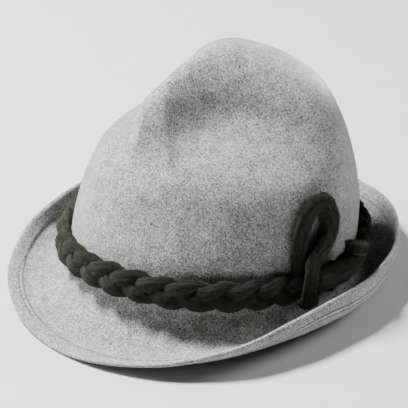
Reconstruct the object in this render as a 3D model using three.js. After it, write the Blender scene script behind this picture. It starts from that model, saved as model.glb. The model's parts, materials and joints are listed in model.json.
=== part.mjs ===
// Alpine felt hat with a plaited wool cord, resting on its brim. Millimetres, +Z up.
// The front faces -Y. The wearer's left, which carries the loop, is +X.
import * as THREE from 'three';

// Felt
const CROWN_LENGTH = 200; // outside, front to back, where the crown meets the brim
const CROWN_WIDTH = 168;
const CROWN_HEIGHT = 148;
const BRIM_WIDTH = 47; // along the felt
const WALL = 2.2;
const FOLD_WIDTH = 9; // the brim's edge is turned over this far and sewn down
const FOLD_STEP = 1.5;
const PRESS = 0.8; // how far the felt flattens where it rests
const FELT_AROUND = 52;

// Cord
const CLEARANCE = 0.4;
const STRAND_WIDTH = 6; // at the band's edges
const STRAND_SPREAD = 2; // wider by this where it crosses the band's middle
const STRAND_THICKNESS = 3;
const BAND_HEIGHT = 20.8; // of the three strands plaited
const BAND_THICKNESS = 8.6;
const BAND_CENTRE = 13.6; // above the foot of the crown
const BAND_DIP = 1.6; // higher in front and behind, lower at the sides
const BAND_SLOPE = 3.2; // higher on the loop's side, lower on the other
const PLAITS = 11; // full crossings round the hat
const LOOP_CORD = 12;
const LOOP_HEIGHT = 45; // above the band's middle, to the middle of the loop's top
const LOOP_ANGLE = 89; // round from the front
const STUB_CORD = 13.6;
const STUB_LENGTH = 42;
const BINDING_THREAD = 1.4;
const SETTLE = 1.1; // how far a cord laid over the plait sinks between its strands

// Facets
const PLAIT_STEPS = 9; // along each crossing
const STRAND_SIDES = 7;
const LOOP_STEPS = 36;
const LOOP_SIDES = 10;
const STUB_STEPS = 12;
const STUB_SIDES = 12;
const BINDING_STEPS = 20;
const BINDING_SIDES = 6;

const FELT_COLOUR = 0xb4b6b4;
const CORD_COLOUR = 0x2f3026;
const THREAD_COLOUR = 0x6d6f5c;

// The crown from its foot to its ridge. Length and width are shares of the crown's, back is how far
// the section lies behind the middle, egg is how much narrower it is in front.
const SECTIONS = [
  { height: 0, length: 1, width: 1, back: 0, egg: 0 },
  { height: 0.14, length: 1.022, width: 1.016, back: 0.012, egg: 0 },
  { height: 0.34, length: 1.004, width: 0.996, back: 0.018, egg: 0.004 },
  { height: 0.54, length: 0.958, width: 0.932, back: 0.017, egg: 0.06 },
  { height: 0.72, length: 0.902, width: 0.837, back: 0.01, egg: 0.125 },
  { height: 0.85, length: 0.851, width: 0.695, back: 0.015, egg: 0.18 },
  { height: 0.93, length: 0.806, width: 0.51, back: 0.02, egg: 0.26 },
  { height: 0.975, length: 0.758, width: 0.304, back: 0.021, egg: 0.3 },
  { height: 0.995, length: 0.7, width: 0.148, back: 0.019, egg: 0.28 },
  { height: 1, length: 0.65, width: 0, back: 0.019, egg: 0.26 },
];
const LEVELS = [9, 8.5, 8, 7.5, 7, 6.5, 6, 5.5, 5, 4.5, 4.1, 3.75, 3.4, 3.05, 2.7, 2.2, 1.6, 1, 0.5, 0.12];

// The ridge from front (-1) to back (1), as a share of the crown's height.
const RIDGE = [
  { along: -1, height: 0.664 },
  { along: -0.75, height: 0.762 },
  { along: -0.4, height: 0.917 },
  { along: -0.1, height: 1 },
  { along: 0.15, height: 0.976 },
  { along: 0.4, height: 0.915 },
  { along: 0.7, height: 0.802 },
  { along: 1, height: 0.705 },
];

// The dent pressed into each side: angles round from the front, heights as shares of the crown's.
const DENT = { start: 22, full: 46, ease: 66, end: 114, low: 0.5, high: 0.78, depth: 0.6 };

// The brim by angle round from the front: width as a share of the brim's, and the slope of the
// felt where it leaves the crown and at its edge.
const BRIM = [
  { angle: 0, width: 1.06, droop: -66, rise: -8 },
  { angle: 45, width: 1.02, droop: -64, rise: 35 },
  { angle: 90, width: 0.97, droop: -42, rise: 96 },
  { angle: 135, width: 0.985, droop: -17, rise: 95 },
  { angle: 180, width: 1.01, droop: -13, rise: 75 },
];
const BRIM_ROWS = [0.05, 0.18, 0.34, 0.5, 0.66, 0.83, 1]; // shares of the brim inside the fold
const FOLD_ROWS = [0.07, 0.5, 1]; // shares of the fold

// The loop's route, up from the band, round, and down over the band: along is a share of the crown's
// half length round the wall, height a share of the loop's, over is 0 against the wall and 1 on top
// of the band, wide swells the cord.
const LOOP = [
  { along: -0.127, height: 0.28, over: 0, wide: 0.8 },
  { along: -0.136, height: 0.51, over: 0, wide: 0.94 },
  { along: -0.119, height: 0.78, over: 0, wide: 1 },
  { along: -0.06, height: 1.03, over: 0, wide: 1.05 },
  { along: 0.045, height: 1.08, over: 0, wide: 1.15 },
  { along: 0.116, height: 0.87, over: 0, wide: 1.05 },
  { along: 0.12, height: 0.62, over: 0, wide: 1 },
  { along: 0.072, height: 0.456, over: 0.14, wide: 0.95 },
  { along: -0.026, height: 0.39, over: 0.68, wide: 0.92 },
  { along: -0.08, height: 0.31, over: 1.02, wide: 0.92 },
  { along: -0.097, height: 0.146, over: 1.08, wide: 0.98 },
  { along: -0.085, height: -0.22, over: 0.96, wide: 1.14 },
];
// The stub's route, with height above the band's middle as a share of the stub's cord.
const STUB = [
  { along: 0.06, height: 0.44, wide: 0.8 },
  { along: 0.33, height: 0.54, wide: 0.9 },
  { along: 0.59, height: 0.66, wide: 0.98 },
  { along: 0.77, height: 0.94, wide: 1 },
  { along: 0.88, height: 1.33, wide: 1.02 },
];
const STUB_START = -0.06; // share of the crown's half length
const BINDING_AT = 0.8; // share of the stub's length
const ROUNDED_TIP = [0.55, 0.87]; // sizes of a cord's first and last two steps
const CORD_FLAT = 0.92; // how flat the cord lies against the hat

const HALF_LENGTH = CROWN_LENGTH / 2;
const HALF_WIDTH = CROWN_WIDTH / 2;
const UP = new THREE.Vector3(0, 0, 1);

function ease(share) {
  return THREE.MathUtils.smoothstep(share, 0, 1);
}

// A smooth curve through one column of a table, read at a value of another column, without overshoot.
function column(rows, key, name) {
  const at = rows.map((row, i) => (key === 'row' ? i : row[key]));
  const value = rows.map((row) => row[name]);
  const rise = value.slice(1).map((v, i) => (v - value[i]) / (at[i + 1] - at[i]));
  const slope = value.map((v, i) => {
    const before = rise[i - 1] ?? 0;
    const after = rise[i] ?? 0;
    return before * after <= 0 ? 0 : (2 * before * after) / (before + after);
  });
  return (x) => {
    const above = at.findIndex((a) => a > x);
    const i = above < 0 ? at.length - 2 : Math.max(0, above - 1);
    const span = at[i + 1] - at[i];
    const s = THREE.MathUtils.clamp((x - at[i]) / span, 0, 1);
    const left = (1 + 2 * s) * (1 - s) ** 2 * value[i] + s * (1 - s) ** 2 * span * slope[i];
    const right = s * s * (3 - 2 * s) * value[i + 1] + s * s * (s - 1) * span * slope[i + 1];
    return left + right;
  };
}

const section = {};
for (const name of ['height', 'length', 'width', 'back', 'egg']) section[name] = column(SECTIONS, 'row', name);
const ridgeHeight = column(RIDGE, 'along', 'height');
const brim = {};
for (const name of ['width', 'droop', 'rise']) brim[name] = column(BRIM, 'angle', name);

// Degrees round from the front, the same on both sides.
function fromFront(angle) {
  return THREE.MathUtils.radToDeg(Math.acos(THREE.MathUtils.clamp(Math.cos(angle), -1, 1)));
}

function crownPoint(level, angle) {
  const narrow = 1 - section.egg(level) * (0.5 + 0.5 * Math.cos(angle));
  const along = section.back(level) - section.length(level) * Math.cos(angle);
  const height = section.height(level) * ridgeHeight(along) * CROWN_HEIGHT;
  const turn = fromFront(angle);
  const round = ease((turn - DENT.start) / (DENT.full - DENT.start))
    * (1 - ease((turn - DENT.ease) / (DENT.end - DENT.ease)));
  const up = ease((height / CROWN_HEIGHT - DENT.low) / (DENT.high - DENT.low));
  const across = section.width(level) * Math.sin(angle) * narrow * (1 - DENT.depth * round * up);
  return new THREE.Vector3(across * HALF_WIDTH, along * HALF_LENGTH, height);
}

function outward(angle) {
  return new THREE.Vector3(Math.sin(angle) / HALF_WIDTH, -Math.cos(angle) / HALF_LENGTH, 0).normalize();
}

// A point of the brim's upper face, this far along the felt from the crown.
function brimPoint(reach, angle) {
  const turn = fromFront(angle);
  const width = brimWidth(angle);
  const steps = 24;
  let out = 0;
  let up = 0;
  for (let i = 0; i < steps; i++) {
    const share = (reach / width) * ((i + 0.5) / steps);
    const slope = THREE.MathUtils.degToRad(THREE.MathUtils.lerp(brim.droop(turn), brim.rise(turn), ease(share)));
    out += (Math.cos(slope) * reach) / steps;
    up += (Math.sin(slope) * reach) / steps;
  }
  return crownPoint(0, angle).addScaledVector(outward(angle), out).addScaledVector(UP, up);
}

function brimWidth(angle) {
  return brim.width(fromFront(angle)) * BRIM_WIDTH;
}

// Joins rings of vertex numbers into triangles. Each ring runs the same way round.
function bridge(rings, flip) {
  const faces = [];
  for (let r = 0; r + 1 < rings.length; r++) {
    const [a, b] = [rings[r], rings[r + 1]];
    for (let j = 0; j < a.length; j++) {
      const k = (j + 1) % a.length;
      for (const face of [[a[j], b[j], b[k]], [a[j], b[k], a[k]]]) {
        if (new Set(face).size === 3) faces.push(...(flip ? face.reverse() : face));
      }
    }
  }
  return faces;
}

function solid(points, faces) {
  const geometry = new THREE.BufferGeometry();
  geometry.setAttribute('position', new THREE.Float32BufferAttribute(points.flatMap((p) => p.toArray()), 3));
  geometry.setIndex(faces);
  geometry.computeVertexNormals();
  return geometry;
}

// The felt's upper face, ridge to edge, as rings of points, with how far the fold lifts each ring.
function feltRings() {
  const angles = Array.from({ length: FELT_AROUND }, (_, j) => (j / FELT_AROUND) * 2 * Math.PI);
  const rings = LEVELS.map((level) => ({ lift: 0, points: angles.map((a) => crownPoint(level, a)) }));
  const inner = (angle) => brimWidth(angle) - FOLD_WIDTH;
  for (const share of BRIM_ROWS) {
    rings.push({ lift: 0, points: angles.map((a) => brimPoint(share * inner(a), a)) });
  }
  for (const share of FOLD_ROWS) {
    rings.push({ lift: FOLD_STEP, points: angles.map((a) => brimPoint(inner(a) + share * FOLD_WIDTH, a)) });
  }
  return rings;
}

function feltBody() {
  const rings = feltRings();
  const base = rings.flatMap((ring) => ring.points);
  const numbers = rings.map((_, r) => Array.from({ length: FELT_AROUND }, (_, j) => {
    const twin = r === 0 ? Math.min(j, (FELT_AROUND - j) % FELT_AROUND) : j; // both sides share the ridge
    return r * FELT_AROUND + twin;
  }));
  const normals = solid(base, bridge(numbers, false)).getAttribute('normal');
  const normal = (i) => new THREE.Vector3().fromBufferAttribute(normals, i);
  const upper = base.map((p, i) => p.clone().addScaledVector(normal(i), rings[Math.floor(i / FELT_AROUND)].lift));
  const lower = base.map((p, i) => p.clone().addScaledVector(normal(i), -WALL));
  const edge = rings[rings.length - 1].points.map((p, j) => {
    const i = (rings.length - 1) * FELT_AROUND + j;
    const away = p.clone().sub(base[i - FELT_AROUND]).normalize();
    return upper[i].clone().lerp(lower[i], 0.5).addScaledVector(away, (WALL + FOLD_STEP) / 2);
  });
  const points = [...upper, ...edge, ...lower];
  const edgeRing = edge.map((_, j) => base.length + j);
  const under = numbers.map((ring) => ring.map((i) => i + base.length + FELT_AROUND)).reverse();
  const faces = bridge([...numbers, edgeRing, ...under], false);
  return { points, faces };
}

// How far the hat leans back when its brim rests on a surface in front and behind.
function restingLean(points) {
  let [low, high] = [0, THREE.MathUtils.degToRad(15)];
  for (let i = 0; i < 30; i++) {
    const lean = (low + high) / 2;
    const height = (p) => p.z * Math.cos(lean) - p.y * Math.sin(lean);
    const front = Math.min(...points.filter((p) => p.y < 0).map(height));
    const behind = Math.min(...points.filter((p) => p.y >= 0).map(height));
    if (front < behind) low = lean;
    else high = lean;
  }
  return low;
}

function feltGeometry() {
  const { points, faces } = feltBody();
  const lean = restingLean(points);
  for (const p of points) p.applyAxisAngle(new THREE.Vector3(1, 0, 0), -lean);
  const box = new THREE.Box3().setFromPoints(points);
  const shift = new THREE.Vector3(0, -(box.min.y + box.max.y) / 2, -box.min.z - PRESS);
  for (const p of points) {
    p.add(shift);
    p.z = Math.max(p.z, 0);
  }
  return { geometry: solid(points, faces), lean, shift };
}

// The row of the crown's table whose section lies this high.
function levelAt(height, angle) {
  const share = height / (ridgeHeight(-Math.cos(angle)) * CROWN_HEIGHT);
  let [low, high] = [0, SECTIONS.length - 1];
  for (let i = 0; i < 30; i++) {
    const middle = (low + high) / 2;
    if (section.height(middle) < share) low = middle;
    else high = middle;
  }
  return low;
}

// A point this far off the crown's wall.
function offWall(angle, height, out) {
  const point = crownPoint(levelAt(Math.max(0, height), angle), angle).addScaledVector(outward(angle), out);
  point.z = height;
  return point;
}

// A rounded bar along a route. Each stop has a point, the way out from the wall, and half sizes.
function bar(stops, sides, closed) {
  const points = [];
  const rings = [];
  const count = stops.length;
  stops.forEach((stop, i) => {
    const next = stops[closed ? (i + 1) % count : Math.min(count - 1, i + 1)].point;
    const last = stops[closed ? (i + count - 1) % count : Math.max(0, i - 1)].point;
    const ahead = next.clone().sub(last).normalize();
    const out = stop.out.clone().addScaledVector(ahead, -stop.out.dot(ahead)).normalize();
    const side = ahead.clone().cross(out);
    rings.push(Array.from({ length: sides }, (_, j) => points.length + j));
    for (let j = 0; j < sides; j++) {
      const turn = (j / sides) * 2 * Math.PI;
      points.push(stop.point.clone().addScaledVector(out, Math.cos(turn) * stop.thick)
        .addScaledVector(side, Math.sin(turn) * stop.wide));
    }
  });
  if (closed) return solid(points, bridge([...rings, rings[0]], true));
  const tips = [stops[0], stops[count - 1]].map((stop) => points.push(stop.point.clone()) - 1);
  const [start, end] = tips.map((tip) => Array(sides).fill(tip));
  return solid(points, bridge([start, ...rings, end], true));
}

// The height of the band's middle, this far round from the front.
function bandHeight(angle) {
  return BAND_CENTRE + BAND_DIP * Math.cos(2 * angle) + BAND_SLOPE * Math.sin(angle);
}

// Strands of the plait weave up and down across the band and in and out through it.
function plaitStrand(number) {
  const weave = (BAND_HEIGHT - STRAND_WIDTH) / 2;
  const depth = (BAND_THICKNESS - STRAND_THICKNESS) / 2;
  const middle = CLEARANCE + BAND_THICKNESS / 2;
  const steps = PLAITS * PLAIT_STEPS;
  const stops = Array.from({ length: steps }, (_, i) => {
    const angle = (i / steps) * 2 * Math.PI;
    const phase = angle * PLAITS + (number * 2 * Math.PI) / 3;
    const height = bandHeight(angle) + weave * Math.sin(phase);
    return {
      point: offWall(angle, height, middle + depth * Math.sin(2 * phase)),
      out: outward(angle),
      wide: (STRAND_WIDTH + STRAND_SPREAD * Math.cos(phase) ** 2) / 2,
      thick: STRAND_THICKNESS / 2,
    };
  });
  return bar(stops, STRAND_SIDES, true);
}

// Stops evenly along a smooth curve, rounded off at both ends.
function routeStops(rows, place, size, steps) {
  const curve = new THREE.CatmullRomCurve3(rows.map(place));
  const wide = column(rows, 'row', 'wide');
  return Array.from({ length: steps + 1 }, (_, i) => {
    const share = i / steps;
    const point = curve.getPoint(share);
    const angle = Math.atan2(point.x / HALF_WIDTH, -point.y / HALF_LENGTH);
    const tip = Math.round(Math.min(share, 1 - share) * steps);
    const round = ROUNDED_TIP[tip] ?? 1;
    const half = (size / 2) * wide(share * (rows.length - 1)) * round;
    return { point, out: outward(angle), wide: half, thick: half * CORD_FLAT };
  });
}

function wallAngle(along) {
  return THREE.MathUtils.degToRad(LOOP_ANGLE) + along;
}

function cordLoop() {
  const onWall = CLEARANCE + LOOP_CORD / 2;
  const onBand = onWall + BAND_THICKNESS - SETTLE;
  const place = (row) => {
    const out = THREE.MathUtils.lerp(onWall, onBand, row.over);
    return offWall(wallAngle(row.along), bandHeight(wallAngle(0)) + row.height * LOOP_HEIGHT, out);
  };
  return bar(routeStops(LOOP, place, LOOP_CORD, LOOP_STEPS), LOOP_SIDES, false);
}

function stubStops() {
  const out = CLEARANCE + BAND_THICKNESS - SETTLE + STUB_CORD / 2;
  const place = (row) => {
    const along = STUB_START + (row.along * STUB_LENGTH) / (HALF_LENGTH + out);
    return offWall(wallAngle(along), bandHeight(wallAngle(0)) + row.height * STUB_CORD, out);
  };
  return routeStops(STUB, place, STUB_CORD, STUB_STEPS);
}

function stubBinding() {
  const stops = stubStops();
  const at = Math.round(BINDING_AT * (stops.length - 1));
  const stop = stops[at];
  const ahead = stops[at + 1].point.clone().sub(stops[at - 1].point).normalize();
  const out = stop.out.clone().addScaledVector(ahead, -stop.out.dot(ahead)).normalize();
  const side = ahead.clone().cross(out);
  const gap = CLEARANCE + BINDING_THREAD / 2;
  const ring = Array.from({ length: BINDING_STEPS }, (_, j) => {
    const turn = (j / BINDING_STEPS) * 2 * Math.PI;
    const away = out.clone().multiplyScalar(Math.cos(turn)).addScaledVector(side, Math.sin(turn));
    const point = stop.point.clone().addScaledVector(out, Math.cos(turn) * (stop.thick + gap))
      .addScaledVector(side, Math.sin(turn) * (stop.wide + gap));
    return { point, out: away, wide: BINDING_THREAD / 2, thick: BINDING_THREAD / 2 };
  });
  return bar(ring, BINDING_SIDES, true);
}

function piece(name, geometry, colour, roughness) {
  const mesh = new THREE.Mesh(geometry, new THREE.MeshStandardMaterial({ color: colour, roughness, metalness: 0 }));
  mesh.name = name;
  return mesh;
}

const hat = new THREE.Group();
const felt = feltGeometry();
hat.add(piece('felt_body', felt.geometry, FELT_COLOUR, 0.95));

const trim = new THREE.Group(); // leans back with the crown
trim.rotation.x = -felt.lean;
trim.position.copy(felt.shift);
for (let i = 0; i < 3; i++) {
  trim.add(piece(`plait_strand_${i + 1}`, plaitStrand(i), CORD_COLOUR, 0.9));
}
trim.add(piece('cord_loop', cordLoop(), CORD_COLOUR, 0.9));
trim.add(piece('cord_stub', bar(stubStops(), STUB_SIDES, false), CORD_COLOUR, 0.9));
trim.add(piece('stub_binding', stubBinding(), THREAD_COLOUR, 0.8));
hat.add(trim);

export default hat;
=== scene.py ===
"""Alpine felt hat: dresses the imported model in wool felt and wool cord."""

import json
import math

import bpy
import numpy as np
from mathutils import Euler, Matrix, Vector, noise
from mathutils.bvhtree import BVHTree
from mathutils.kdtree import KDTree

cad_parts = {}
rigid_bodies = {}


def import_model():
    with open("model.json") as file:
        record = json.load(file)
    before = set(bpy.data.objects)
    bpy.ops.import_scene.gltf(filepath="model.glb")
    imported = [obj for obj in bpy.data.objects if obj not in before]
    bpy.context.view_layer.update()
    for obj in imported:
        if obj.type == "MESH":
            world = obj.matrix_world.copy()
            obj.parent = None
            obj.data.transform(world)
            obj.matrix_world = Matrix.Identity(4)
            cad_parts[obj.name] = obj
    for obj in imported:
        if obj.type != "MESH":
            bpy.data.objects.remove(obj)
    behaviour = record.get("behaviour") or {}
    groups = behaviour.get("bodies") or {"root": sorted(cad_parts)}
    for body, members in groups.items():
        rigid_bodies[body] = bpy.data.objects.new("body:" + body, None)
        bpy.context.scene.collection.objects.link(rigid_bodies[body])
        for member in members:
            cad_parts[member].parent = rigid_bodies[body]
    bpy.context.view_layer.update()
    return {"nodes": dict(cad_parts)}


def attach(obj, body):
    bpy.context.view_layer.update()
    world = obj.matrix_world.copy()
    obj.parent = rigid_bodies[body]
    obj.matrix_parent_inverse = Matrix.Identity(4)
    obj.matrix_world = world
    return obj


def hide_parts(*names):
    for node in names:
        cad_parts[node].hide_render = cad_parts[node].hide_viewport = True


bl_info = {
    "name": "Alpine felt hat",
    "version": (1, 0, 0),
    "blender": (4, 5, 0),
    "location": "3D View > Sidebar > Hat",
    "description": "Felt, plaited cord, loop and stitches for an alpine hat",
    "category": "Object",
}

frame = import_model()
NODES = frame["nodes"]

MM = 0.001
HALF_LENGTH = 100 * MM  # of the crown's foot
HALF_WIDTH = 84 * MM
LEAN = math.radians(6.045)  # the hat rests leaning back on its brim
FOOT = Vector((0, 1.401, 14.925)) * MM  # the middle of the crown's foot
TILT = Matrix.Rotation(-LEAN, 3, "X")

# The brim by degrees round from the front: its width along the felt in millimetres, and the felt's
# slope at the crown and at the edge.
BRIM = (
    {"angle": 0, "width": 49.8, "droop": -66, "rise": -8},
    {"angle": 45, "width": 47.9, "droop": -64, "rise": 35},
    {"angle": 90, "width": 45.6, "droop": -42, "rise": 96},
    {"angle": 135, "width": 46.3, "droop": -17, "rise": 95},
    {"angle": 180, "width": 47.5, "droop": -13, "rise": 75},
)
EDGE_REACH = 20 * MM  # the seam's painted shade and painted highlight are set by the distance from the edge, up to this far

# The plaited band, in millimetres above the crown's foot: higher in front and behind, lower at the
# sides, and higher on the loop's side than on the other.
BAND_MIDDLE = 13.6
BAND_DIP = 1.6
BAND_SLOPE = 3.2
LOOP_ANGLE = math.radians(89)  # round from the front
RADIAN_REACH = 100  # millimetres along the crown's wall for one radian, near the loop
# The loop's route in millimetres: round is along the wall from the loop's middle, up is above the
# band's middle, off is away from the felt, size is a share of the cord's.
LOOP = (
    {"round": -12.0, "up": 5.0, "off": 4.0, "size": 0.60},
    {"round": -12.9, "up": 12.0, "off": 4.6, "size": 0.76},
    {"round": -13.8, "up": 19.5, "off": 4.6, "size": 0.86},
    {"round": -13.6, "up": 28.5, "off": 4.6, "size": 0.92},
    {"round": -11.9, "up": 38.6, "off": 4.6, "size": 0.98},
    {"round": -6.0, "up": 49.2, "off": 4.8, "size": 1.10},
    {"round": 3.7, "up": 52.0, "off": 5.0, "size": 1.24},
    {"round": 10.6, "up": 42.0, "off": 5.0, "size": 1.26},
    {"round": 10.0, "up": 31.0, "off": 5.0, "size": 1.26},
    {"round": 1.4, "up": 23.6, "off": 7.0, "size": 1.20},
    {"round": -7.4, "up": 18.8, "off": 10.6, "size": 1.04},
    {"round": -9.8, "up": 13.5, "off": 13.6, "size": 0.92},
    {"round": -10.2, "up": 5.5, "off": 14.2, "size": 0.98},
    {"round": -9.6, "up": -4.0, "off": 14.0, "size": 1.10},
    {"round": -9.0, "up": -11.0, "off": 12.4, "size": 1.22},
)
# The bound end's route, in the same terms.
STUB = (
    {"round": -6.0, "up": 5.5, "off": 12.5, "size": 0.8},
    {"round": -3.0, "up": 6.1, "off": 14.4, "size": 0.86},
    {"round": 6.2, "up": 7.3, "off": 14.7, "size": 0.92},
    {"round": 15.6, "up": 8.9, "off": 14.7, "size": 0.99},
    {"round": 22.6, "up": 11.4, "off": 14.7, "size": 1.02},
    {"round": 26.0, "up": 15.8, "off": 14.7, "size": 1.02},
    {"round": 26.8, "up": 21.6, "off": 14.7, "size": 1.1},
)

# Shaping of the felt, the same on both sides: millimetres from the middle of the hat's rest.
SHAPING = (
    {"place": (0, -42, 143), "reach": 32, "move": (0, -2.4, 3.8)},
    {"place": (0, -20, 156), "reach": 24, "move": (0, -1.6, 2.6)},
    {"place": (14, -68, 118), "reach": 28, "move": (0, 4.6, -3.8)},
    {"place": (27, -34, 126), "reach": 28, "move": (-2.4, 0.6, -0.8)},
)

# How much the first or last few stops of a cord narrow, the outermost first.
ROUND_END = (0.4, 0.7, 0.85, 0.94)
CUT_END = (0.96,)

# The camera, fitted to the hat's outline in the photo. It looks at the middle of the crown's foot.
PHOTO_SIDE = 408  # pixels
CAMERA_TURN = (45.976, 30.054, -1.11)  # degrees round, up and rolled
CAMERA_FAR = 1263.4  # millimetres
CAMERA_SCALE = 1.511  # pixels to a millimetre at the crown's foot
CAMERA_SHIFT = (-8.79, 47.29)  # pixels
SENSOR = 36

# The soft lights: name, place, width and power.
LIGHTS = (
    ("key_softbox", (-0.66, -0.44, 1.5), 0.45, 125.0),
    ("left_softbox", (-1.2, -1.0, 0.72), 0.6, 16.0),
    ("right_softbox", (0.6, 1.1, 0.85), 0.7, 14.0),
)
SKY_LIGHT = 0.06
FLOOR_SIDE = 14
FLOOR_DROP = 0.0001  # keeps the floor just clear of the brim

WAVE_SEED = 7  # gives the felt the same waves each run
STOPS = {}  # the route of each cord, once it is made

# Placing things on the hat


def hat_point(point):
    """A point of the upright hat, carried into the leaning one."""
    return TILT @ Vector(point) + FOOT


def hat_way(direction):
    """A direction of the upright hat, turned into the leaning one."""
    return (TILT @ Vector(direction)).normalized()


def way_out(angle):
    """The level direction away from the crown, this far round from the front."""
    return hat_way((math.sin(angle) / HALF_WIDTH, -math.cos(angle) / HALF_LENGTH, 0))


def surface_of(piece):
    """A tree of the piece's faces, for finding its surface."""
    mesh = piece.data
    corners = [v.co.copy() for v in mesh.vertices]
    return BVHTree.FromPolygons(corners, [tuple(p.vertices) for p in mesh.polygons])


def band_height(angle):
    """The height of the plaited band's middle above the crown's foot, this far round."""
    return (BAND_MIDDLE + BAND_DIP * math.cos(2 * angle) + BAND_SLOPE * math.sin(angle)) * MM


def off_wall(felt, angle, height, off):
    """A point this far off the crown's outer wall, at this angle and height above its foot."""
    level = max(height, 2.5 * MM)  # lower down, the ray would meet the brim
    start = hat_point((0, 2 * MM, level))
    ray = hat_way((math.sin(angle) * HALF_WIDTH, -math.cos(angle) * HALF_LENGTH, 0))
    inner = felt.ray_cast(start, ray)[0]
    outer = felt.ray_cast(inner + ray * 0.4 * MM, ray)[0]
    return outer + way_out(angle) * off + hat_way((0, 0, 1)) * (height - level)


def smooth(rows, key, at):
    """A table column read at a value of its first column, eased between rows."""
    first = next(iter(rows[0]))
    for low, high in zip(rows, rows[1:]):
        if at <= high[first]:
            share = (at - low[first]) / (high[first] - low[first])
            share = max(0.0, min(1.0, share))
            share = share * share * (3 - 2 * share)
            return low[key] + (high[key] - low[key]) * share
    return rows[-1][key]


def brim_place(angle, inside):
    """A point of the brim's upper face, this far inside its edge."""
    turn = math.degrees(math.acos(max(-1.0, min(1.0, math.cos(angle)))))
    width = smooth(BRIM, "width", turn) * MM
    droop, rise = smooth(BRIM, "droop", turn), smooth(BRIM, "rise", turn)
    reach = width - inside
    steps = 24
    out = up = 0.0
    for i in range(steps):
        share = reach / width * (i + 0.5) / steps
        share = share * share * (3 - 2 * share)
        slope = math.radians(droop + (rise - droop) * share)
        out += math.cos(slope) * reach / steps
        up += math.sin(slope) * reach / steps
    foot = Vector((math.sin(angle) * HALF_WIDTH, -math.cos(angle) * HALF_LENGTH, up))
    level = Vector((math.sin(angle) / HALF_WIDTH, -math.cos(angle) / HALF_LENGTH, 0))
    return hat_point(foot + level.normalized() * out)


def curve_through(points, per_span):
    """Evenly stepped points of a smooth curve through these."""
    ends = [points[0] * 2 - points[1], *points, points[-1] * 2 - points[-2]]
    out = []
    for a, b, c, d in zip(ends, ends[1:], ends[2:], ends[3:]):
        for i in range(per_span):
            t = i / per_span
            out.append(
                (
                    b * 2
                    + (c - a) * t
                    + (a * 2 - b * 5 + c * 4 - d) * t * t
                    + (b * 3 - a - c * 3 + d) * t**3
                )
                * 0.5
            )
    out.append(points[-1].copy())
    return out


# Working on meshes


def only(piece):
    """Makes this the one selected and active object."""
    active = bpy.context.view_layer.objects.active
    if active and active.mode != "OBJECT":
        bpy.ops.object.mode_set(mode="OBJECT")
    bpy.ops.object.select_all(action="DESELECT")
    piece.select_set(True)
    bpy.context.view_layer.objects.active = piece


def new_piece(name, corners, faces, uvs=None):
    """A mesh object at the origin, with its place in its mesh."""
    mesh = bpy.data.meshes.new(name)
    mesh.from_pydata([tuple(c) for c in corners], [], faces)
    mesh.update()
    if uvs:
        layer = mesh.uv_layers.new(name="cord")
        for polygon in mesh.polygons:
            for corner, uv in zip(polygon.loop_indices, uvs[polygon.index]):
                layer.data[corner].uv = uv
    piece = bpy.data.objects.new(name, mesh)
    bpy.context.scene.collection.objects.link(piece)
    only(piece)
    bpy.ops.object.shade_smooth()
    return piece


def copy_of_node(node, name):
    """The CAD node's mesh as a new piece, merged and made quads."""
    piece = bpy.data.objects.new(name, NODES[node].data.copy())
    bpy.context.scene.collection.objects.link(piece)
    piece.data.materials.clear()
    only(piece)
    bpy.ops.mesh.customdata_custom_splitnormals_clear()
    bpy.ops.object.mode_set(mode="EDIT")
    bpy.ops.mesh.select_all(action="SELECT")
    bpy.ops.mesh.remove_doubles(threshold=0.01 * MM)
    bpy.ops.mesh.tris_convert_to_quads(
        face_threshold=math.radians(70), shape_threshold=math.radians(80)
    )
    bpy.ops.object.mode_set(mode="OBJECT")
    bpy.ops.object.shade_smooth()
    return piece


def subdivide(piece, levels):
    """Rounds the piece with an applied subdivision surface."""
    only(piece)
    rounder = piece.modifiers.new("Rounding", "SUBSURF")
    rounder.levels = rounder.render_levels = levels
    bpy.ops.object.modifier_apply(modifier=rounder.name)


def join(pieces, name):
    """Several pieces made one."""
    only(pieces[0])
    for piece in pieces[1:]:
        piece.select_set(True)
    bpy.ops.object.join()
    pieces[0].name = pieces[0].data.name = name
    return pieces[0]


def finish_piece(piece, material, slot, *nodes):
    """Gives the piece its material, puts it on the root body and hides the nodes that it stands
    for. The slot is not used.
    """
    piece.data.materials.clear()
    piece.data.materials.append(material)
    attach(piece, "root")
    if nodes:
        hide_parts(*nodes)


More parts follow.
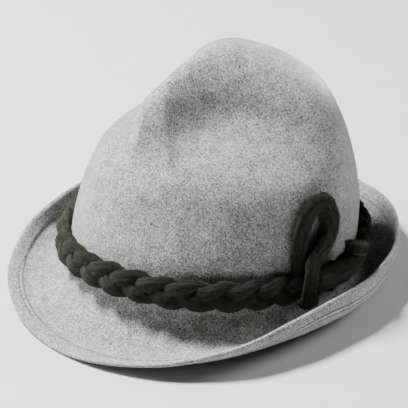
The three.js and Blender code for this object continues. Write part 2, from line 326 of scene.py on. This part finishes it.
def twisted_cord(name, stops, sides, yarns, twist, groove, rough, closed=False):
    """A soft cord of yarns laid side by side.

    Each stop has a place, the way out, and half sizes. The twist is in radians to a metre, the
    groove between the yarns is a share of the cord's size, and rough is the height of its ripples.
    """
    ripple_scale = 420
    ridge_round, ridge_along, ridge_height = 4.2, 70, 1.6
    groove_sharpness = 2.2
    count = len(stops)
    corners = []
    run = [0.0]
    for a, b in zip(stops, stops[1:]):
        run.append(run[-1] + (b["place"] - a["place"]).length)
    whole = run[-1] + (stops[0]["place"] - stops[-1]["place"]).length
    if closed:
        turns = round(twist * whole / (2 * math.pi) * yarns) / yarns
        twist = turns * 2 * math.pi / whole
    for i, stop in enumerate(stops):
        after = stops[(i + 1) % count if closed else min(count - 1, i + 1)]["place"]
        before = stops[(i - 1) % count if closed else max(0, i - 1)]["place"]
        ahead = (after - before).normalized()
        out = (stop["out"] - ahead * stop["out"].dot(ahead)).normalized()
        side = ahead.cross(out)
        for j in range(sides):
            turn = 2 * math.pi * j / sides
            lobe = abs(math.sin(yarns / 2 * (turn - twist * run[i])))
            size = 1 - groove * (1 - lobe) ** groove_sharpness
            arm = out * math.cos(turn) * stop["thick"] + side * math.sin(turn) * stop["wide"]
            ripple = noise.noise((stop["place"] + arm) * ripple_scale) * rough
            ring = Vector((math.cos(turn) * ridge_round, math.sin(turn) * ridge_round, 0))
            ring.z = run[i] * ridge_along
            ripple += noise.noise(ring) * rough * ridge_height
            corners.append(stop["place"] + arm * size + arm.normalized() * ripple)
    faces = []
    uvs = []
    for i in range(count if closed else count - 1):
        k = (i + 1) % count
        low, high = run[i], run[i + 1] if i + 1 < count else whole
        for j in range(sides):
            m = (j + 1) % sides
            faces.append((i * sides + j, i * sides + m, k * sides + m, k * sides + j))
            left, right = j / sides, (j + 1) / sides
            uvs.append(((left, low), (right, low), (right, high), (left, high)))
    if not closed:
        faces.append(tuple(reversed(range(sides))))
        faces.append(tuple(range((count - 1) * sides, count * sides)))
        uvs.append([(j / sides, -0.001) for j in reversed(range(sides))])
        uvs.append([(j / sides, whole) for j in range(sides)])
    STOPS[name] = stops
    return new_piece(name, corners, faces, uvs)


def hairs(name, piece, count, length, width, lift, seed, keep=None, stops=None):
    """Fine bent hairs standing off a piece's faces.

    The lift is how steeply they rise. Keep, given faces' middles and normals, says where they
    grow. With a cord's stops, they lie along the cord.
    """
    rng = np.random.default_rng(seed)
    mesh = piece.data
    mesh.calc_loop_triangles()
    corners = np.empty(len(mesh.vertices) * 3)
    mesh.vertices.foreach_get("co", corners)
    corners = corners.reshape(-1, 3)
    tris = np.empty(len(mesh.loop_triangles) * 3, int)
    mesh.loop_triangles.foreach_get("vertices", tris)
    a, b, c = (corners[tris.reshape(-1, 3)[:, k]] for k in range(3))
    cross = np.cross(b - a, c - a)
    area = np.linalg.norm(cross, axis=1)
    normal = cross / (area[:, None] + 1e-12)
    if keep is not None:
        area = area * keep((a + b + c) / 3, normal)
    pick = rng.choice(len(area), count, p=area / area.sum())
    u, v = rng.random(count), rng.random(count)
    fold = u + v > 1
    u[fold], v[fold] = 1 - u[fold], 1 - v[fold]
    root = a[pick] + u[:, None] * (b - a)[pick] + v[:, None] * (c - a)[pick]
    out = normal[pick]
    lean = rng.normal(size=(count, 3))
    if stops is not None:
        places = np.array([s["place"] for s in stops])
        ahead = np.roll(places, -1, 0) - places
        ahead[-1] = ahead[-2]
        ahead /= np.linalg.norm(ahead, axis=1)[:, None]
        nearest = ((root[:, None, :] - places[None]) ** 2).sum(2).argmin(1)
        lean = lean * 0.28 + ahead[nearest] * rng.choice([-1, 1], count)[:, None]
    lean -= out * (lean * out).sum(1)[:, None]
    lean /= np.linalg.norm(lean, axis=1)[:, None]
    rise = (lift * (0.3 + rng.random(count)))[:, None]
    way = out * rise + lean
    way /= np.linalg.norm(way, axis=1)[:, None]
    bend = np.cross(out, lean) * rng.normal(0, 0.5, count)[:, None] + way - out * rise * 0.6
    bend /= np.linalg.norm(bend, axis=1)[:, None]
    side = np.cross(way, out + rng.normal(0, 0.4, (count, 3)))
    side /= np.linalg.norm(side, axis=1)[:, None] + 1e-12
    reach = (length * (0.4 + 0.9 * rng.random(count)))[:, None]
    half = side * width / 2
    middle = root + way * reach * 0.5
    tip = middle + bend * reach * 0.5
    waist = half * 0.8
    points = np.stack([root - half, root + half, middle + waist, middle - waist, tip], 1)
    start = np.arange(count)[:, None] * 5
    quads = (start + np.array([0, 1, 2, 3])).tolist()
    ends = (start + np.array([3, 2, 4])).tolist()
    return new_piece(name, points.reshape(-1, 3), quads + ends)


# Materials


def new_material(name, roughness, sheen, sheen_roughness, sheen_tint, specular):
    """A principled material and its node tree."""
    material = bpy.data.materials.new(name)
    material.use_nodes = True
    nodes = material.node_tree.nodes
    shader = nodes["Principled BSDF"]
    shader.inputs["Roughness"].default_value = roughness
    shader.inputs["Specular IOR Level"].default_value = specular
    shader.inputs["Sheen Weight"].default_value = sheen
    shader.inputs["Sheen Roughness"].default_value = sheen_roughness
    shader.inputs["Sheen Tint"].default_value = (*sheen_tint, 1)
    return material, nodes, material.node_tree.links, shader


def speckle(nodes, links, where, scale, detail, roughness, stretch=(1, 1, 1), turn=0.0):
    """A noise pattern of this scale on the piece's coordinates."""
    mapping = nodes.new("ShaderNodeMapping")
    mapping.inputs["Scale"].default_value = stretch
    mapping.inputs["Rotation"].default_value = (0, 0, turn)
    pattern = nodes.new("ShaderNodeTexNoise")
    pattern.inputs["Scale"].default_value = scale
    pattern.inputs["Detail"].default_value = detail
    pattern.inputs["Roughness"].default_value = roughness
    links.new(where, mapping.inputs["Vector"])
    links.new(mapping.outputs["Vector"], pattern.inputs["Vector"])
    return pattern.outputs["Fac"]


def ramp(nodes, links, value, stops):
    """A ramp from value to these colours. The first two stops take the ramp's own two points."""
    node = nodes.new("ShaderNodeValToRGB")
    points = node.color_ramp.elements
    for i, (at, colour) in enumerate(stops):
        point = points[i] if i < 2 else points.new(at)
        point.position = at
        point.color = (*colour, 1)
    links.new(value, node.inputs["Fac"])
    return node.outputs["Color"]


def multiply(nodes, links, first, second):
    """Two colours multiplied."""
    node = nodes.new("ShaderNodeMix")
    node.data_type = "RGBA"
    node.blend_type = "MULTIPLY"
    node.inputs["Factor"].default_value = 1.0
    links.new(first, node.inputs["A"])
    links.new(second, node.inputs["B"])
    return node.outputs["Result"]


def bump(nodes, links, height, strength, distance, under=None):
    """A bump from a height, on top of another bump."""
    node = nodes.new("ShaderNodeBump")
    node.inputs["Strength"].default_value = strength
    node.inputs["Distance"].default_value = distance
    links.new(height, node.inputs["Height"])
    if under is not None:
        links.new(under, node.inputs["Normal"])
    return node.outputs["Normal"]


def grey(value):
    """A neutral colour this light."""
    return (value, value, value * 0.995)


def felt_material(settings):
    """Light grey mottled wool felt, with painted shade and a painted highlight along the seam of
    the brim's fold.
    """
    material, nodes, links, shader = new_material(
        "mottled_felt", 1.0, settings.felt_sheen, 0.4, (1, 1, 1), 0.1
    )
    where = nodes.new("ShaderNodeTexCoord").outputs["Object"]
    base = settings.felt_grey
    fine = speckle(nodes, links, where, 950, 3, 0.7)
    colour = ramp(
        nodes, links, fine, [(0.36, grey(base * 0.3)), (0.66, grey(base * 1.9)), (0.5, grey(base))]
    )
    flecks = speckle(nodes, links, where, 420, 3, 0.65)
    dark = ramp(nodes, links, flecks, [(0.3, grey(0.4)), (0.43, grey(1.0))])
    colour = multiply(nodes, links, colour, dark)
    clouds = speckle(nodes, links, where, 110, 4, 0.7)
    cloudy = ramp(nodes, links, clouds, [(0.32, grey(0.72)), (0.62, grey(1.12))])
    colour = multiply(nodes, links, colour, cloudy)
    broad = speckle(nodes, links, where, 30, 2, 0.5)
    patches = ramp(nodes, links, broad, [(0.32, grey(0.93)), (0.68, grey(1.05))])
    colour = multiply(nodes, links, colour, patches)
    # Painted shade and a painted highlight along the brim's fold, by distance from the edge: a
    # painted shade line in the stitch groove, a painted highlight on the fold's raw edge, and a
    # painted shadow line just inside the raw edge.
    seam = nodes.new("ShaderNodeAttribute")
    seam.attribute_name = "from_edge"
    painted_seam_shade_and_highlight = ramp(
        nodes,
        links,
        seam.outputs["Fac"],
        [
            (0.0, grey(1.0)),
            (1.0, grey(1.0)),
            (0.3, grey(1.0)),
            (0.335, grey(0.32)),
            (0.37, grey(0.35)),
            (0.395, grey(1.55)),
            (0.445, grey(1.55)),
            (0.46, grey(0.35)),
            (0.49, grey(0.4)),
            (0.56, grey(1.0)),
        ],
    )
    colour = multiply(nodes, links, colour, painted_seam_shade_and_highlight)
    links.new(colour, shader.inputs["Base Color"])
    normal = bump(nodes, links, clouds, 0.3, 0.0012)
    normal = bump(nodes, links, fine, 0.7, 0.0006, normal)
    links.new(normal, shader.inputs["Normal"])
    return material


def hair_material(name, low, high, sheen):
    """Loose fibres, each a slightly different tone."""
    material, nodes, links, shader = new_material(name, 0.9, sheen, 0.4, (1, 1, 1), 0.2)
    where = nodes.new("ShaderNodeTexCoord").outputs["Object"]
    tone = speckle(nodes, links, where, 900, 2, 0.5)
    links.new(ramp(nodes, links, tone, [(0.35, low), (0.65, high)]), shader.inputs["Base Color"])
    return material


def cord_material(name, settings, lightness):
    """Dark olive wool, drawn out into fine fibres along the cord."""
    material, nodes, links, shader = new_material(
        name, 0.95, settings.cord_sheen, 0.35, (0.8, 0.85, 0.65), 0.2
    )
    place = nodes.new("ShaderNodeTexCoord")
    along = place.outputs["UV"]
    dark, light = Vector(settings.cord_dark), Vector(settings.cord_light)
    middle = dark.lerp(light, 0.4)
    fibres = speckle(nodes, links, along, 1, 4, 0.75, (46, 190, 1), 0.1)
    colour = ramp(
        nodes,
        links,
        fibres,
        [
            (0.36, tuple(dark * lightness)),
            (0.68, tuple(light * lightness)),
            (0.5, tuple(middle * lightness)),
        ],
    )
    tufts = speckle(nodes, links, place.outputs["Object"], 130, 3, 0.6)
    patchy = ramp(nodes, links, tufts, [(0.3, (0.72, 0.7, 0.68)), (0.7, (1.25, 1.27, 1.2))])
    colour = multiply(nodes, links, colour, patchy)
    links.new(colour, shader.inputs["Base Color"])
    normal = bump(nodes, links, fibres, 1.0, 0.002)
    fuzz = speckle(nodes, links, place.outputs["Object"], 900, 4, 0.7)
    normal = bump(nodes, links, fuzz, 0.4, 0.0004, normal)
    links.new(normal, shader.inputs["Normal"])
    return material


def thread_material(name, colour):
    """Sewing thread with fine crossways ridges."""
    material, nodes, links, shader = new_material(name, 0.7, 0.3, 0.4, (1, 1, 1), 0.3)
    where = nodes.new("ShaderNodeTexCoord").outputs["Object"]
    plies = speckle(nodes, links, where, 1500, 3, 0.6)
    dark = tuple(c * 0.7 for c in colour)
    light = tuple(c * 1.2 for c in colour)
    links.new(ramp(nodes, links, plies, [(0.3, dark), (0.7, light)]), shader.inputs["Base Color"])
    links.new(bump(nodes, links, plies, 0.5, 0.0003), shader.inputs["Normal"])
    return material


def stage_material():
    """Matte white studio floor."""
    material, nodes, links, shader = new_material("studio_floor", 0.9, 0.0, 0.5, (1, 1, 1), 0.1)
    where = nodes.new("ShaderNodeTexCoord").outputs["Object"]
    grain = speckle(nodes, links, where, 40, 2, 0.5)
    links.new(
        ramp(nodes, links, grain, [(0.3, (0.54, 0.54, 0.54)), (0.7, (0.56, 0.56, 0.56))]),
        shader.inputs["Base Color"],
    )
    return material


# Settings


class HatFeltSettings(bpy.types.PropertyGroup):
    felt_grey: bpy.props.FloatProperty(
        name="Felt grey", description="How light the felt is", default=0.25, min=0.05, max=0.9
    )
    felt_sheen: bpy.props.FloatProperty(
        name="Sheen", description="Soft shine of the nap", default=0.5, min=0.0, max=1.0
    )
    waviness: bpy.props.FloatProperty(
        name="Waviness",
        description="How far the felt strays from its block",
        default=0.9 * MM,
        unit="LENGTH",
    )
    nap_length: bpy.props.FloatProperty(
        name="Nap length", description="Length of loose fibres", default=1.1 * MM, unit="LENGTH"
    )
    nap_count: bpy.props.IntProperty(
        name="Nap fibres", description="Number of loose fibres", default=60000, min=0
    )
    stitch_length: bpy.props.FloatProperty(
        name="Stitch length",
        description="Length of a stitch in the brim's fold",
        default=3.2 * MM,
        unit="LENGTH",
    )
    stitch_inset: bpy.props.FloatProperty(
        name="Stitch inset",
        description="Stitching from the brim's edge",
        default=7.2 * MM,
        unit="LENGTH",
    )


class HatCordSettings(bpy.types.PropertyGroup):
    cord_dark: bpy.props.FloatVectorProperty(
        name="Dark fibre",
        description="Colour of the darker wool",
        subtype="COLOR",
        default=(0.003, 0.003, 0.0025),
    )
    cord_light: bpy.props.FloatVectorProperty(
        name="Light fibre",
        description="Colour of the lighter wool",
        subtype="COLOR",
        default=(0.026, 0.0265, 0.0185),
    )
    cord_sheen: bpy.props.FloatProperty(
        name="Sheen", description="Soft shine of the wool", default=0.1, min=0.0, max=1.0
    )
    band_height: bpy.props.FloatProperty(
        name="Band height",
        description="Height of the plaited band",
        default=21 * MM,
        unit="LENGTH",
    )
    band_thickness: bpy.props.FloatProperty(
        name="Band thickness",
        description="Thickness of the plaited band",
        default=9.8 * MM,
        unit="LENGTH",
    )
    strand_width: bpy.props.FloatProperty(
        name="Strand width",
        description="Width of one plaited strand",
        default=10.2 * MM,
        unit="LENGTH",
    )
    strand_thickness: bpy.props.FloatProperty(
        name="Strand thickness",
        description="Thickness of one plaited strand",
        default=5.6 * MM,
        unit="LENGTH",
    )
    plaits: bpy.props.IntProperty(
        name="Plaits", description="Full crossings round the hat", default=11, min=3
    )
    loop_cord: bpy.props.FloatProperty(
        name="Loop cord",
        description="Thickness of the loop's cord",
        default=12 * MM,
        unit="LENGTH",
    )
    stub_cord: bpy.props.FloatProperty(
        name="Stub cord",
        description="Thickness of the bound end",
        default=14.4 * MM,
        unit="LENGTH",
    )


# Operators


class HAT_OT_stage(bpy.types.Operator):
    """Sets out the floor, the lights and the camera."""

    bl_idname = "hat.stage"
    bl_label = "Stage"

    def execute(self, context):
        bpy.ops.mesh.primitive_plane_add(size=FLOOR_SIDE, location=(0, 0, -FLOOR_DROP))
        floor = context.active_object
        floor.name = floor.data.name = "studio_floor"
        bpy.ops.object.mode_set(mode="EDIT")
        bpy.ops.mesh.select_all(action="SELECT")
        bpy.ops.mesh.subdivide(number_cuts=6)
        bpy.ops.object.mode_set(mode="OBJECT")
        floor.data.materials.append(stage_material())
        aim = Vector((0, 0, 0.07))
        for name, place, size, power in LIGHTS:
            bpy.ops.object.light_add(type="AREA", location=place)
            lamp = context.active_object
            lamp.name = lamp.data.name = name
            lamp.data.shape = "DISK"
            lamp.data.size = size
            lamp.data.energy = power
            lamp.rotation_euler = (aim - Vector(place)).to_track_quat("-Z", "Y").to_euler()
        world = bpy.data.worlds.new("studio")
        context.scene.world = world
        world.use_nodes = True
        sky = world.node_tree.nodes["Background"]
        sky.inputs["Color"].default_value = (1, 1, 1, 1)
        sky.inputs["Strength"].default_value = SKY_LIGHT
        bpy.ops.object.camera_add()
        camera = context.active_object
        camera.name = camera.data.name = "photo_camera"
        azimuth, elevation, roll = (math.radians(d) for d in CAMERA_TURN)
        turn = Euler((math.pi / 2 - elevation, 0, azimuth)).to_matrix()
        turn = turn @ Matrix.Rotation(-roll, 3, "Z")
        back = turn @ Vector((0, 0, 1))
        place = FOOT + back * (CAMERA_FAR * MM)
        camera.matrix_world = Matrix.Translation(place) @ turn.to_4x4()
        camera.data.sensor_width = SENSOR
        camera.data.lens = SENSOR * CAMERA_SCALE * CAMERA_FAR / PHOTO_SIDE
        camera.data.shift_x = CAMERA_SHIFT[0] / PHOTO_SIDE
        camera.data.shift_y = CAMERA_SHIFT[1] / PHOTO_SIDE
        camera.data.clip_start = 0.05
        context.scene.camera = camera
        return {"FINISHED"}


def mark_edge(felt):
    """Stores how far each outer point of the felt lies from the edge, in shares of EDGE_REACH.

    Points of the under and inner faces get -1. Near the edge, a point's place tells its face.
    Further in, its normal does, roughly.
    """
    per_degree = 2
    tree = KDTree(360 * per_degree)
    for i in range(360 * per_degree):
        tree.insert(brim_place(math.radians(i / per_degree), 0), i)
    tree.balance()
    marks = felt.data.attributes.new("from_edge", "FLOAT", "POINT").data
    for corner in felt.data.vertices:
        _, i, far = tree.find(corner.co)
        if far > EDGE_REACH:
            away = Vector((corner.co.x, corner.co.y, 0)).normalized()
            outer = corner.normal.dot(away + Vector((0, 0, 1.6))) > 0
        else:
            angle = math.radians(i / per_degree)
            here = brim_place(angle, far)
            ahead = brim_place(angle + 0.01, far) - brim_place(angle - 0.01, far)
            up = (brim_place(angle, far + MM) - here).cross(ahead).normalized()
            outer = (corner.co - here).dot(up) > -0.6 * MM
        marks[corner.index].value = min(1.0, far / EDGE_REACH) if outer else -1.0


class HAT_OT_felt(bpy.types.Operator):
    """Rounds the felt, gives it its slight waves, and finishes it as mottled wool felt."""

    bl_idname = "hat.felt"
    bl_label = "Felt"

    def execute(self, context):
        settings = context.scene.hat_felt
        broad_waves, small_waves, small_share = 26, 60, 0.35
        felt = copy_of_node("felt_body", "felt")
        subdivide(felt, 2)
        noise.seed_set(WAVE_SEED)
        for corner in felt.data.vertices:
            place = corner.co
            wave = noise.noise_vector(place * broad_waves)
            wave += noise.noise_vector(place * small_waves) * small_share
            moved = place + wave * settings.waviness
            # The felt lies flat where it rests, and waves in full from 13 mm up.
            free = min(1.0, max(0.0, (place.z - 1 * MM) / (12 * MM)))
            moved = place.lerp(moved, free)
            for row in SHAPING:
                mirror = Vector((math.copysign(1, place.x), 1, 1)) * MM
                far = (place - Vector(row["place"]) * mirror).length / (row["reach"] * MM)
                if far < 1:
                    moved += Vector(row["move"]) * mirror * (1 - far * far) ** 2
            moved.z = max(moved.z, 0)
            corner.co = moved
        felt.data.update()
        mark_edge(felt)
        finish_piece(felt, felt_material(settings), "felt", "felt_body")
        return {"FINISHED"}


class HAT_OT_stitches(bpy.types.Operator):
    """Sews the brim's fold down with a row of stitches."""

    bl_idname = "hat.stitches"
    bl_label = "Stitches"

    def execute(self, context):
        settings = context.scene.hat_felt
        per_degree = 4
        steps = 360 * per_degree
        pitch = settings.stitch_length * 1.3
        thread, sides, spans = 0.34 * MM, 6, 6
        felt = surface_of(bpy.data.objects["felt"])
        inset = settings.stitch_inset
        walk = [brim_place(math.radians(d / per_degree), inset) for d in range(steps)]
        length = sum((b - a).length for a, b in zip(walk, walk[1:] + walk[:1]))
        count = int(length / pitch)
        corners = []
        faces = []
        for i in range(count):
            middle = i / count * steps
            before, after = (walk[int(middle + k) % steps] for k in (-4, 4))
            ahead = (after - before).normalized()
            near, normal = felt.find_nearest(walk[int(middle) % steps])[:2]
            side = ahead.cross(normal).normalized()
            start = len(corners)
            for k in range(spans + 1):
                share = k / spans * 2 - 1
                raised = (0.16 - 0.5 * share**4) * MM
                spine = near + ahead * share * settings.stitch_length / 2 + normal * raised
                size = thread * (1 - 0.45 * share**4)
                for j in range(sides):
                    turn = 2 * math.pi / sides * j
                    corners.append(
                        spine + normal * math.cos(turn) * size + side * math.sin(turn) * size
                    )
            for k in range(spans):
                for j in range(sides):
                    m = (j + 1) % sides
                    a = start + k * sides
                    b = a + sides
                    faces.append((a + j, a + m, b + m, b + j))
            last = start + spans * sides
            faces.append(tuple(start + j for j in reversed(range(sides))))
            faces.append(tuple(last + j for j in range(sides)))
        stitches = new_piece("brim_stitches", corners, faces)
        finish_piece(stitches, thread_material("grey_thread", (0.27, 0.27, 0.265)), "felt")
        return {"FINISHED"}


class HAT_OT_plait(bpy.types.Operator):
    """Plaits three soft strands round the foot of the crown."""

    bl_idname = "hat.plait"
    bl_label = "Plait"

    def execute(self, context):
        settings = context.scene.hat_cord
        felt = surface_of(bpy.data.objects["felt"])
        weave = (settings.band_height - settings.strand_width) / 2
        depth = (settings.band_thickness - settings.strand_thickness) / 2
        clearance = 0.2 * MM
        middle = clearance + settings.band_thickness / 2
        material = cord_material("plait_wool", settings, 1.0)
        stops_a_plait = 48
        steps = settings.plaits * stops_a_plait
        for number in range(3):
            stops = []
            for i in range(steps):
                angle = 2 * math.pi * i / steps
                phase = angle * settings.plaits + number * 2 * math.pi / 3
                height = band_height(angle) + weave * math.sin(phase)
                off = middle + depth * math.sin(2 * phase)
                lying = noise.noise(Vector((number * 7, angle * 9, 0)))
                stops.append(
                    {
                        "place": off_wall(felt, angle, height + lying * 0.5 * MM, off),
                        "out": way_out(angle),
                        "wide": settings.strand_width / 2 * (1 + 0.06 * lying),
                        "thick": settings.strand_thickness / 2,
                    }
                )
            strand = twisted_cord(
                f"strand_{number + 1}",
                stops,
                sides=42,
                yarns=6,
                twist=26,
                groove=0.14,
                rough=0.4 * MM,
                closed=True,
            )
            finish_piece(strand, material, "cord", f"plait_strand_{number + 1}")
        return {"FINISHED"}


def cord_stops(felt, rows, size, per_span, flat):
    """Stops along a cord's route over the hat. Flat is its thickness as a share of its width."""
    steps = curve_through([Vector((r["round"], r["up"], r["off"])) for r in rows], per_span)
    sizes = curve_through([Vector((r["size"], 0, 0)) for r in rows], per_span)
    middle = band_height(LOOP_ANGLE)
    stops = []
    for step, share in zip(steps, sizes):
        angle = LOOP_ANGLE + step.x / RADIAN_REACH
        stops.append(
            {
                "place": off_wall(felt, angle, middle + step.y * MM, step.z * MM),
                "out": way_out(angle),
                "wide": size / 2 * share.x,
                "thick": size / 2 * share.x * flat,
            }
        )
    return stops


def narrow(stop, share):
    """Makes a stop's half sizes smaller by this share."""
    stop["wide"] *= share
    stop["thick"] *= share


def round_off(stops, start, end):
    """Tapers the first and last few stops."""
    for k, share in enumerate(start):
        narrow(stops[k], share)
    for k, share in enumerate(end):
        narrow(stops[-1 - k], share)


class HAT_OT_loop(bpy.types.Operator):
    """Lays the upright loop against the crown and down over the band."""

    bl_idname = "hat.loop"
    bl_label = "Loop"

    def execute(self, context):
        settings = context.scene.hat_cord
        felt = surface_of(bpy.data.objects["felt"])
        stops = cord_stops(felt, LOOP, settings.loop_cord, per_span=14, flat=0.58)
        round_off(stops, ROUND_END, ROUND_END)
        loop = twisted_cord(
            "loop", stops, sides=48, yarns=4, twist=20, groove=0.16, rough=0.4 * MM
        )
        finish_piece(loop, cord_material("loop_wool", settings, 0.4), "cord", "cord_loop")
        return {"FINISHED"}


class HAT_OT_stub(bpy.types.Operator):
    """Makes the cut end beside the loop and the thread that binds it."""

    bl_idname = "hat.stub"
    bl_label = "Bound end"

    def execute(self, context):
        settings = context.scene.hat_cord
        felt = surface_of(bpy.data.objects["felt"])
        stops = cord_stops(felt, STUB, settings.stub_cord, per_span=18, flat=0.92)
        round_off(stops, ROUND_END, CUT_END)
        bound = len(stops) - 17  # the stop that the thread is tied round
        waist_half = 3
        for k in range(-waist_half, waist_half + 1):
            narrow(stops[bound + k], 1 - 0.1 * math.cos(k / waist_half * math.pi / 2))
        stub = twisted_cord(
            "stub", stops, sides=40, yarns=5, twist=25, groove=0.14, rough=0.35 * MM
        )
        finish_piece(stub, cord_material("stub_wool", settings, 0.7), "cord", "cord_stub")
        turns, steps_a_turn = 3, 28
        coil_half = 1.2  # in stops along the cord
        coil = []
        for i in range(turns * steps_a_turn + 1):
            share = i / (turns * steps_a_turn)
            turn = share * turns * 2 * math.pi
            at = bound - coil_half + 2 * coil_half * share
            k = int(at)
            near, after = stops[k], stops[k + 1]
            centre = near["place"].lerp(after["place"], at - k)
            ahead = (after["place"] - near["place"]).normalized()
            out = (near["out"] - ahead * near["out"].dot(ahead)).normalized()
            side = ahead.cross(out)
            reach = Vector((near["thick"], near["wide"]))
            arm = out * math.cos(turn) * (reach.x + 0.25 * MM)
            arm += side * math.sin(turn) * (reach.y + 0.25 * MM)
            half = 0.5 * MM
            coil.append(
                {"place": centre + arm, "out": arm.normalized(), "wide": half, "thick": half}
            )
        binding = twisted_cord(
            "binding", coil, sides=8, yarns=3, twist=900, groove=0.12, rough=0.0
        )
        thread = thread_material("binding_thread", (0.06, 0.052, 0.036))
        finish_piece(binding, thread, "thread", "stub_binding")
        return {"FINISHED"}


def above_rest(centre, normal):
    """Keeps fibres off the places that the hat rests on."""
    return centre[:, 2] > 2 * MM


class HAT_OT_fibres(bpy.types.Operator):
    """Raises the felt's nap and the cords' loose fibres."""

    bl_idname = "hat.fibres"
    bl_label = "Loose fibres"

    def execute(self, context):
        felt_settings = context.scene.hat_felt
        felt = bpy.data.objects["felt"]
        nap_wool = hair_material("nap", grey(0.13), grey(0.42), 0.2)
        for seed, name in ((11, "felt_nap"), (12, "felt_nap_more")):
            nap = hairs(
                name,
                felt,
                felt_settings.nap_count,
                length=felt_settings.nap_length,
                width=0.08 * MM,
                lift=0.7,
                seed=seed,
                keep=above_rest,
            )
            finish_piece(nap, nap_wool, "felt")
        dark = hairs(
            "felt_dark_fibres",
            felt,
            900,
            length=3.2 * MM,
            width=0.15 * MM,
            lift=0.03,
            seed=5,
            keep=above_rest,
        )
        finish_piece(dark, hair_material("dark_fibre", grey(0.03), grey(0.09), 0.0), "felt")
        tufts = []
        cords = ("strand_1", "strand_2", "strand_3", "loop", "stub")
        for seed, name in enumerate(cords, 20):
            count = 12000 if name.startswith("strand") else 6000
            cord = bpy.data.objects[name]
            tufts.append(
                hairs(
                    f"fuzz_{name}",
                    cord,
                    count,
                    length=3.6 * MM,
                    width=0.13 * MM,
                    lift=0.22,
                    seed=seed,
                    stops=STOPS[name],
                )
            )
        last, before = (STOPS["stub"][k]["place"] for k in (-1, -3))
        ahead = np.array((last - before).normalized())

        def cut_end(centre, normal):
            """Keeps the tuft on the stub's cut end."""
            near = np.linalg.norm(centre - np.array(last), axis=1) < 9 * MM
            return near & ((normal * ahead).sum(1) > 0.6)

        stub = bpy.data.objects["stub"]
        tufts.append(
            hairs(
                "tuft",
                stub,
                2600,
                length=3.0 * MM,
                width=0.26 * MM,
                lift=3.0,
                seed=40,
                keep=cut_end,
            )
        )
        fuzz = join(tufts, "cord_fuzz")
        wool = hair_material("fuzz", (0.004, 0.004, 0.003), (0.034, 0.0345, 0.024), 0.05)
        finish_piece(fuzz, wool, "cord")
        return {"FINISHED"}


class HAT_PT_panel(bpy.types.Panel):
    """Lists the steps that dress the hat."""

    bl_idname = "HAT_PT_panel"
    bl_label = "Alpine felt hat"
    bl_space_type = "VIEW_3D"
    bl_region_type = "UI"
    bl_category = "Hat"

    def draw(self, context):
        layout = self.layout
        for settings in (context.scene.hat_felt, context.scene.hat_cord):
            for name in settings.bl_rna.properties.keys():
                if name not in ("rna_type", "name"):
                    layout.prop(settings, name)
        for step in STEPS:
            layout.operator(step.bl_idname)


STEPS = (
    HAT_OT_stage,
    HAT_OT_felt,
    HAT_OT_stitches,
    HAT_OT_plait,
    HAT_OT_loop,
    HAT_OT_stub,
    HAT_OT_fibres,
)
CLASSES = (HatFeltSettings, HatCordSettings, *STEPS, HAT_PT_panel)


def register():
    """Adds the classes and the scene's settings."""
    for kind in CLASSES:
        bpy.utils.register_class(kind)
    bpy.types.Scene.hat_felt = bpy.props.PointerProperty(type=HatFeltSettings)
    bpy.types.Scene.hat_cord = bpy.props.PointerProperty(type=HatCordSettings)


def unregister():
    """Takes them away again."""
    del bpy.types.Scene.hat_felt
    del bpy.types.Scene.hat_cord
    for kind in reversed(CLASSES):
        bpy.utils.unregister_class(kind)


def main():
    """Dresses the hat."""
    register()
    bpy.ops.hat.stage()
    bpy.ops.hat.felt()
    bpy.ops.hat.stitches()
    bpy.ops.hat.plait()
    bpy.ops.hat.loop()
    bpy.ops.hat.stub()
    bpy.ops.hat.fibres()


if __name__ == "__main__":
    main()
